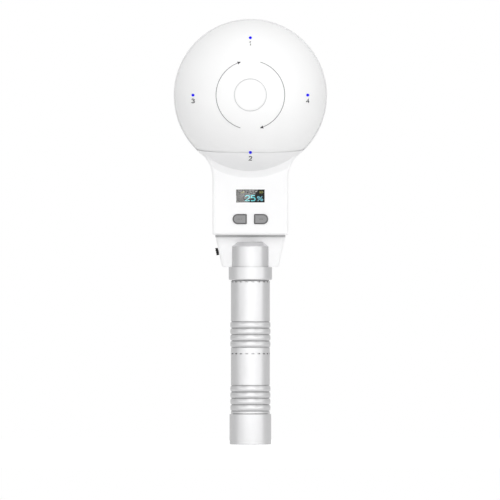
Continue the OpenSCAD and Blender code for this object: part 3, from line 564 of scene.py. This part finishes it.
# Strokes of the plain figures, in a box one wide and one high
FIGURES = {
    "1": [[(0.2, 0.8), (0.55, 1), (0.55, 0)]],
    "2": [[(0.04, 0.8), (0.2, 0.95), (0.5, 1), (0.8, 0.95), (0.95, 0.78), (0.88, 0.55), (0, 0), (1, 0)]],
    "3": [[(0.04, 0.86), (0.25, 0.98), (0.55, 1), (0.85, 0.92), (0.93, 0.75), (0.8, 0.58), (0.45, 0.52),
           (0.85, 0.45), (1, 0.26), (0.88, 0.08), (0.55, 0), (0.2, 0.02), (0, 0.14)]],
    "4": [[(0.74, 0), (0.74, 1), (0, 0.3), (1, 0.3)]],
    "5": [[(0.94, 1), (0.1, 1), (0.06, 0.58), (0.5, 0.61), (0.86, 0.53), (1, 0.3), (0.86, 0.08),
           (0.5, 0), (0, 0.02)]],
    "%": [[(0.12, 0), (0.88, 1)],
          [(0.04, 0.78), (0.14, 0.95), (0.3, 0.95), (0.4, 0.78), (0.3, 0.6), (0.14, 0.6), (0.04, 0.78)],
          [(0.6, 0.22), (0.7, 0.39), (0.86, 0.39), (0.96, 0.22), (0.86, 0.05), (0.7, 0.05), (0.6, 0.22)]],
}


def stroke_loops(path, width):
    """Quads of an even width along a path, mitred where it bends."""
    points = [Vector(point) for point in path]
    sides = []
    for index, point in enumerate(points):
        ahead = points[min(index + 1, len(points) - 1)] - points[min(index, len(points) - 2)]
        back = points[max(index, 1)] - points[max(index - 1, 0)]
        one, two = (Vector((-way.y, way.x)).normalized() for way in (back, ahead))
        middle = (one + two).normalized()
        reach = width / 2 / max(middle.dot(one), LEAST_MITRE)
        sides.append((point + middle * reach, point - middle * reach))
    return [[tuple(a0), tuple(a1), tuple(b1), tuple(b0)] for (a0, a1), (b0, b1) in zip(sides, sides[1:])]


def lettering(name, figure, size, line, at, place, body, material):
    """A plain figure of the width and height given, centred on at, drawn in strokes as wide as line."""
    loops = []
    for path in FIGURES[figure]:
        spots = [(at[0] + (x - 0.5) * (size[0] - line), at[1] + (y - 0.5) * (size[1] - line))
                 for x, y in path]
        loops += stroke_loops(spots, line)
    patch(name, loops, place, body, material)


def rectangle(low, high):
    return [(low[0], low[1]), (high[0], low[1]), (high[0], high[1]), (low[0], high[1])]


def disc_loops(at, radius, low=-1.0, high=1.0, rows=14):
    """A disc in level rows, or the part of it between two heights, given as shares of the radius."""
    loops = []
    for row in range(rows):
        v0, v1 = (low + (high - low) * (row + step) / rows for step in (0, 1))
        u0, u1 = (math.sqrt(max(0.0, 1 - v * v)) + ROW_EXTRA for v in (v0, v1))
        corners = [(-u0, v0), (u0, v0), (u1, v1), (-u1, v1)]
        loops.append([(at[0] + radius * u, at[1] + radius * v) for u, v in corners])
    return loops


def ring_loops(inner, outer, start=0.0, end=2 * math.pi, steps=72):
    """A ring or arc of flat quads round the dome's middle. Angles run clockwise from the top."""
    def point(angle, radius):
        return radius * math.sin(angle), radius * math.cos(angle)
    turns = [start + (end - start) * step / steps for step in range(steps + 1)]
    return [[point(a, inner), point(a, outer), point(b, outer), point(b, inner)]
            for a, b in zip(turns, turns[1:])]


def arrow_loops(turn):
    """An arrowhead on the arc at the angle given, pointing clockwise."""
    start = turn - ARROW_LEN / ARC_R
    base = ring_loops(ARC_R - ARROW_HALF_W, ARC_R + ARROW_HALF_W, start, turn, steps=6)
    taper = []
    for step, loop in enumerate(base):
        wide, narrow = 1 - step / len(base), 1 - (step + 1) / len(base)
        corners = []
        for (u, v), share in zip(loop, (wide, wide, narrow, narrow)):
            radius = math.hypot(u, v)
            shrunk = ARC_R + (radius - ARC_R) * max(share, ARROW_TIP)
            corners.append((u * shrunk / radius, v * shrunk / radius))
        taper.append(corners)
    return taper


def dome_prints():
    black = ink("ink_black", (0.03, 0.03, 0.035))
    grey = ink("ink_grey", (0.045, 0.045, 0.05))
    line_grey = ink("ink_line", (0.22, 0.22, 0.23))
    faint = ink("ink_faint", (0.62, 0.62, 0.63))
    blue = ink("ink_blue", (0.004, 0.004, 0.95))
    body = "dome"
    for number, (u, v) in {"1": (0, DOT_RING), "3": (-DOT_RING, 0), "4": (DOT_RING, 0)}.items():
        patch("dot_" + number, disc_loops((u, v), DOT_R), ON_DOME, body, blue)
        lettering("figure_" + number, number, LABEL_SIZE, LABEL_LINE, (u, v - LABEL_DROP), ON_DOME, body,
                  grey)
    # The lowest dot marks the rest position: half on the dome, half on the fixed chin
    seam = -CHIN_DROP - math.tan(CHIN_TILT) * math.sqrt(DOME_R ** 2 - DOT_RING ** 2)
    share = (seam + DOT_RING) / DOT_R
    patch("dot_2_dome", disc_loops((0, -DOT_RING), DOT_R, low=share + DOT_GAP), ON_DOME, body, blue)
    patch("dot_2_chin", disc_loops((0, -DOT_RING), DOT_R, high=share - DOT_GAP), ON_CHIN, "meter_body", blue)
    lettering("figure_2", "2", LABEL_SIZE, LABEL_LINE, (0, -DOT_RING - LABEL_DROP), ON_CHIN, "meter_body",
              grey)
    inner, outer = ARC_R - ARC_LINE / 2, ARC_R + ARC_LINE / 2
    bare_turn = ARROW_LEN / ARC_R * ARROW_BARE
    for side, start in (("right", ARC_START), ("left", ARC_START + math.pi)):
        end = start + math.pi - 2 * ARC_START
        arc = ring_loops(inner, outer, start, end - bare_turn)
        patch("arc_" + side, arc, ON_DOME, body, line_grey)
        patch("arrow_" + side, arrow_loops(end), ON_DOME, body, black)
    patch("window_ring", ring_loops(RING_INNER, RING_OUTER), ON_DOME, body, faint)


def battery_loops():
    """A battery lying down: its rim, its level and the nub at its end."""
    (u0, v0), (u1, v1), rim = BATTERY_LOW, BATTERY_HIGH, BATTERY_RIM
    return [
        rectangle((u0, v0), (u1, v0 + rim)),
        rectangle((u0, v1 - rim), (u1, v1)),
        rectangle((u0, v0 + rim), (u0 + rim, v1 - rim)),
        rectangle((u1 - rim, v0 + rim), (u1, v1 - rim)),
        rectangle((u0 + 2 * rim, v0 + 2 * rim), (u1 - BATTERY_LEVEL_END, v1 - 2 * rim)),
        rectangle((u1 + NUB_GAP, v0 + 2 * rim), (u1 + NUB_END, v1 - 2 * rim)),
    ]


def screen_content():
    pixels = {"pixels_cyan": lit("pixels_cyan", (0.16, 0.78, 0.82)),
              "pixels_dim": lit("pixels_dim", (0.2, 0.6, 0.72))}
    yellow = lit("pixels_yellow", (0.5, 0.5, 0.12), strength=0.6)
    body = "meter_body"
    for name, figure, size, line, at, shade in READING:
        lettering(name, figure, size, line, at, ON_SCREEN, body, pixels[shade])
    bars = []
    for step in range(BAR_COUNT):
        u, v = BARS_AT[0] + step * BAR_PITCH, BARS_AT[1]
        bars.append(rectangle((u, v), (u + BAR_W, v + (step + 1) * BAR_RISE)))
    patch("signal_bars", bars, ON_SCREEN, body, yellow)
    patch("battery_mark", battery_loops(), ON_SCREEN, body, yellow)


def button_marks():
    """Faint plain marks: three dots on the left button, a short bar on the right one."""
    grey = ink("ink_button", (0.14, 0.14, 0.145))
    dots = []
    for step in (-1, 0, 1):
        dots += disc_loops((step * MARK_DOT_PITCH, 0), MARK_DOT_R, rows=6)
    half_w, half_h = MARK_BAR_HALF
    bar = [rectangle((-half_w, -half_h), (half_w, half_h))]
    for name, marks in (("button_left", dots), ("button_right", bar)):
        low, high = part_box(name)
        place = on_plane((low.x + high.x) / 2, low.y, (low.z + high.z) / 2)
        patch("mark_" + name, marks, place, name, grey)


def insert_thread():
    """The insert's thread, standing a little off the wall of its bore."""
    low_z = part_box("tripod_insert")[0].z + THREAD_START
    flank = THREAD_FLANK * THREAD_PITCH
    section = ((THREAD_ROOT_R, 0), (THREAD_CREST_R, flank), (THREAD_ROOT_R, 2 * flank))
    form = bmesh.new()
    rows = []
    for step in range(int(THREAD_LEN / THREAD_PITCH * THREAD_STEPS)):
        turn = 2 * math.pi * step / THREAD_STEPS
        z = low_z + THREAD_PITCH * step / THREAD_STEPS
        rows.append([form.verts.new((r * math.cos(turn), r * math.sin(turn), z + up)) for r, up in section])
    for one, two in zip(rows, rows[1:]):
        for k in range(3):
            form.faces.new((one[k], one[(k + 1) % 3], two[(k + 1) % 3], two[k]))
    form.faces.new(rows[0])
    form.faces.new(reversed(rows[-1]))
    bmesh.ops.recalc_face_normals(form, faces=form.faces[:])
    mesh = bpy.data.meshes.new("insert_thread")
    form.to_mesh(mesh)
    form.free()
    return mesh


# ---- Stage ----

def white_to_the_eye(tree):
    """1 where a camera, glossy or transmission ray arrives, 0 for the light that falls on the object."""
    path = tree.nodes.new("ShaderNodeLightPath")
    total = path.outputs["Is Camera Ray"]
    for kind in ("Is Glossy Ray", "Is Transmission Ray"):
        most = tree.nodes.new("ShaderNodeMath")
        most.operation = "MAXIMUM"
        tree.links.new(total, most.inputs[0])
        tree.links.new(path.outputs[kind], most.inputs[1])
        total = most.outputs[0]
    return total


def make_world():
    """White where it is seen or mirrored, and dimmer as a light."""
    world = bpy.data.worlds.new("studio")
    world.use_nodes = True
    tree = world.node_tree
    plain = tree.nodes["Background"]
    plain.inputs["Color"].default_value = (1, 1, 1, 1)
    plain.inputs["Strength"].default_value = WORLD_LEVEL
    white = tree.nodes.new("ShaderNodeBackground")
    white.inputs["Color"].default_value = (1, 1, 1, 1)
    white.inputs["Strength"].default_value = 1.0
    mix = tree.nodes.new("ShaderNodeMixShader")
    tree.links.new(white_to_the_eye(tree), mix.inputs["Fac"])
    tree.links.new(plain.outputs["Background"], mix.inputs[1])
    tree.links.new(white.outputs["Background"], mix.inputs[2])
    tree.links.new(mix.outputs["Shader"], tree.nodes["World Output"].inputs["Surface"])
    bpy.context.scene.world = world


def floor_level():
    """Just below the reach of the unscrewed tail cap."""
    tail_travel = next(joint["range_m"][1] for joint in frame["joints"] if joint["name"] == "tail_lift")
    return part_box("tail_cap")[0].z - tail_travel - FLOOR_GAP


def make_floor():
    """Its own white takes the shadow, a little glow lifts it to white, and from below it is clear."""
    mesh = bpy.data.meshes.new("floor")
    corners = rectangle((-FLOOR_HALF, -FLOOR_HALF), (FLOOR_HALF, FLOOR_HALF))
    level = floor_level()
    mesh.from_pydata([(x, y, level) for x, y in corners], [], [(0, 1, 2, 3)])
    floor = bpy.data.objects.new("floor", mesh)
    bpy.context.scene.collection.objects.link(floor)
    material, tree, shader = node_material("floor_white")
    shader.inputs["Base Color"].default_value = (FLOOR_WHITE, FLOOR_WHITE, FLOOR_WHITE, 1)
    shader.inputs["Roughness"].default_value = 0.9
    shader.inputs["Specular IOR Level"].default_value = 0.0
    glow = tree.nodes.new("ShaderNodeEmission")
    share = tree.nodes.new("ShaderNodeMath")
    share.operation = "MULTIPLY"
    share.inputs[1].default_value = FLOOR_GLOW
    tree.links.new(white_to_the_eye(tree), share.inputs[0])
    tree.links.new(share.outputs[0], glow.inputs["Strength"])
    both = tree.nodes.new("ShaderNodeAddShader")
    tree.links.new(shader.outputs["BSDF"], both.inputs[0])
    tree.links.new(glow.outputs["Emission"], both.inputs[1])
    geometry = tree.nodes.new("ShaderNodeNewGeometry")
    path = tree.nodes.new("ShaderNodeLightPath")
    clear = tree.nodes.new("ShaderNodeBsdfTransparent")
    seen = tree.nodes.new("ShaderNodeMixShader")
    tree.links.new(multiplied(tree, geometry.outputs["Backfacing"], path.outputs["Is Camera Ray"]),
                   seen.inputs["Fac"])
    tree.links.new(both.outputs["Shader"], seen.inputs[1])
    tree.links.new(clear.outputs["BSDF"], seen.inputs[2])
    tree.links.new(seen.outputs["Shader"], tree.nodes["Material Output"].inputs["Surface"])
    mesh.materials.append(material)


def area_light(name, place, width, height, watts, aim=OBJECT_MIDDLE):
    """A rectangle, or a disc where no height is given, turned towards its aim. The camera doesn't see it."""
    lamp = bpy.data.lights.new(name, "AREA")
    lamp.shape = "RECTANGLE" if height else "DISK"
    lamp.size = width
    lamp.size_y = height or width
    lamp.energy = watts
    light = bpy.data.objects.new(name, lamp)
    light.location = place
    light.rotation_euler = (Vector(aim) - Vector(place)).to_track_quat("-Z", "Y").to_euler()
    light.visible_camera = False
    bpy.context.scene.collection.objects.link(light)
    return light


def glare_card():
    """Stands so that its edge shows in the display's glass, CARD_EDGE_X from the middle."""
    share = CARD_DISTANCE / VIEW_DISTANCE
    edge = Vector((CARD_EDGE_X, PANE_Z)) * (1 - share) + Vector((VIEW_X, VIEW_Z)) * share
    middle = edge + Vector((-math.sin(CARD_LEAN), math.cos(CARD_LEAN))) * CARD_SIZE / 2
    card = area_light("glare_card", (middle.x, -CARD_DISTANCE, middle.y), CARD_SIZE, CARD_SIZE, CARD_WATTS)
    card.rotation_euler = Euler((math.radians(90), -CARD_LEAN, 0), "XYZ")
    card.data.color = CARD_COLOUR


def make_lights():
    area_light(*FRONT_BOX)
    for strip in STRIPS:
        area_light(*strip, aim=(0, 0, STRIP_Z)).visible_diffuse = False
    for soft in SOFT_LIGHTS:
        area_light(*soft)
    glare_card()


def make_camera():
    camera = bpy.data.cameras.new("camera")
    camera.lens = camera.sensor_width * VIEW_DISTANCE / VIEW_WIDTH
    camera.clip_end = 3 * VIEW_DISTANCE
    eye = bpy.data.objects.new("camera", camera)
    eye.location = (VIEW_X, -VIEW_DISTANCE, VIEW_Z)
    eye.rotation_euler = (math.radians(90), 0, 0)
    bpy.context.scene.collection.objects.link(eye)
    bpy.context.scene.camera = eye


bpy.context.scene.view_settings.view_transform = "Standard"
make_camera()
make_world()
make_floor()
make_lights()
dress_frame()
dome_prints()
screen_content()
button_marks()
add_piece("insert_thread", insert_thread(), "tail_cap", bpy.data.materials["brass"])
